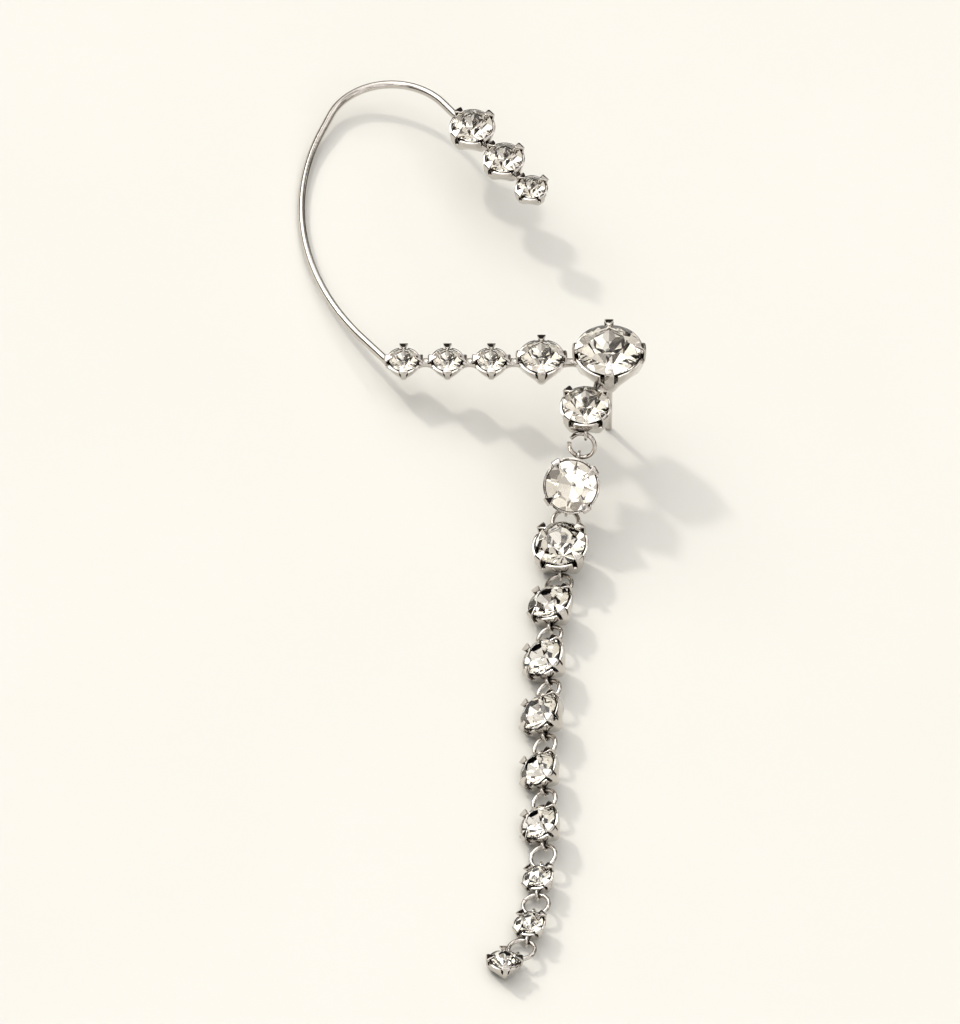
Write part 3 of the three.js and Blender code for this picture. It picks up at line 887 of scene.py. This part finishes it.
# %% [markdown]
# Polished metal and mirror-backed glass show nothing but their surroundings, so the room matters as much
# as the finish. In a studio with white cards and gaps between them, each facet shows either a card or a
# gap, and that is the sparkle. The dark room near the horizon draws the edges of the metal. The world
# does the same by direction: a noise sorts the sky into cards and gaps, and height adds the dark room.
# On the near side, a wide card with slats lights the crystals that face it. A small window is the key
# light, and a small gap beside it draws the dark line on the hook's wire.

# %% Studio surroundings
CARD_SCALE = 2.1
SLAT_SCALE = 7.5
ROOM_DARK = (0.035, 0.03, 0.027, 1)
GAP_DARK = (0.08, 0.07, 0.066, 1)
CARD_DIM = (0.8, 0.775, 0.745, 1)
CARD_WHITE = (1.85, 1.83, 1.79, 1)
KEY_WHITE = (3.0, 2.95, 2.85, 1)
SLAT_GREY = (0.34, 0.32, 0.305, 1)
LIGHT_STRENGTH = 1.09
NEAR_CARD = Vector((0.3, -0.93, 0.35))
WIRE_GAP = Vector((0.34, 0.63, 0.7))
KEY_WINDOW = Vector((-0.62, 0.37, 0.69))
BACKDROP = "#EFEDE6"

world = bpy.data.worlds.new("studio")
bpy.context.scene.world = world
world.use_nodes = True
tree = world.node_tree
tree.nodes.clear()
direction = add(tree, "ShaderNodeTexCoord").outputs["Generated"]
height = add(tree, "ShaderNodeSeparateXYZ", {"Vector": direction}).outputs["Z"]
cards = add(tree, "ShaderNodeTexNoise", {"Vector": direction, "Scale": CARD_SCALE, "Detail": 1.0})
shades = add(tree, "ShaderNodeTexNoise", {"Vector": direction, "Scale": 2 * CARD_SCALE, "Detail": 1.0})
slats = add(tree, "ShaderNodeTexNoise", {"Vector": direction, "Scale": SLAT_SCALE, "Detail": 1.0})


def blend(low, high, driver, start, end):
    """Goes from one light to another as a number goes from start to end."""
    share = add(tree, "ShaderNodeMapRange", {"Value": driver, "From Min": start, "From Max": end},
                interpolation_type="SMOOTHSTEP")
    return add(tree, "ShaderNodeMix", {
        "Factor": share.outputs["Result"], "A": low, "B": high}, data_type="RGBA").outputs["Result"]


def nearness(towards):
    return add(tree, "ShaderNodeVectorMath", {0: direction, 1: towards.normalized()},
               operation="DOT_PRODUCT").outputs["Value"]


card = blend(CARD_DIM, CARD_WHITE, shades.outputs["Fac"], 0.44, 0.56)
sky = blend(GAP_DARK, card, cards.outputs["Fac"], 0.38, 0.42)
light = blend(ROOM_DARK, sky, height, 0.44, 0.52)
near_card = blend(SLAT_GREY, card, slats.outputs["Fac"], 0.44, 0.5)
light = blend(light, near_card, nearness(NEAR_CARD), 0.66, 0.72)
light = blend(light, GAP_DARK, nearness(WIRE_GAP), 0.972, 0.985)
light = blend(light, KEY_WHITE, nearness(KEY_WINDOW), 0.88, 0.93)
is_seen = add(tree, "ShaderNodeLightPath").outputs["Is Camera Ray"]
backdrop = add(tree, "ShaderNodeMix", {
    "Factor": is_seen, "A": light, "B": linear(BACKDROP)}, data_type="RGBA").outputs["Result"]
background = add(tree, "ShaderNodeBackground", {"Color": backdrop, "Strength": LIGHT_STRENGTH})
add(tree, "ShaderNodeOutputWorld", {"Surface": background.outputs["Background"]})

# %% Window light
SUN_TRAVEL = Vector((1.0, -0.59, -1.0))
SUN_ANGLE = 5
SUN_ENERGY = 1.15
clear_selection()
bpy.ops.object.light_add(type="SUN", location=-0.4 * SUN_TRAVEL)
sun = bpy.context.object
sun.name = "window_sun"
sun.rotation_euler = SUN_TRAVEL.to_track_quat("-Z", "Y").to_euler()
sun.data.angle = math.radians(SUN_ANGLE)
sun.data.energy = SUN_ENERGY
sun.data.color = linear("#FFF8EC")[:3]
bpy.context.scene.view_settings.view_transform = "Standard"

# %% [markdown]
# The camera looks at the frame's own plane from 51 degrees above it, as the photo does, with the row of
# crystals level. A long lens from two metres keeps the proportions. The photo's scale and one place in
# it, the back of the big cup, set where the camera aims.

# %% Camera
IMAGE_SIZE = (960, 1024)
PIXELS_PER_MM = 8.333
BIG_CUP_PIXEL = (609, 369.8)
CAMERA_DISTANCE = 2.0
CAMERA_ELEVATION = math.radians(51)
SENSOR = 36.0
to_camera = frame_axes.to_3x3() @ Vector((0, -math.cos(CAMERA_ELEVATION), math.sin(CAMERA_ELEVATION)))
image_right = frame_x
image_up = to_camera.cross(image_right)
offset_right = (IMAGE_SIZE[0] / 2 - BIG_CUP_PIXEL[0]) / PIXELS_PER_MM * MM
offset_up = (BIG_CUP_PIXEL[1] - IMAGE_SIZE[1] / 2) / PIXELS_PER_MM * MM
aim = big.base() + offset_right * image_right + offset_up * image_up
clear_selection()
bpy.ops.object.camera_add(location=aim + CAMERA_DISTANCE * to_camera)
camera = bpy.context.object
camera.name = "photo_camera"
camera.rotation_euler = Matrix((image_right, image_up, to_camera)).transposed().to_euler()
camera.data.sensor_width = SENSOR
camera.data.lens = SENSOR * CAMERA_DISTANCE / (IMAGE_SIZE[1] / PIXELS_PER_MM * MM)
camera.data.clip_start = 0.05
camera.data.clip_end = 10
bpy.context.scene.camera = camera
print("lens in mm", round(camera.data.lens), "aim in mm", [round(v / MM, 1) for v in aim])
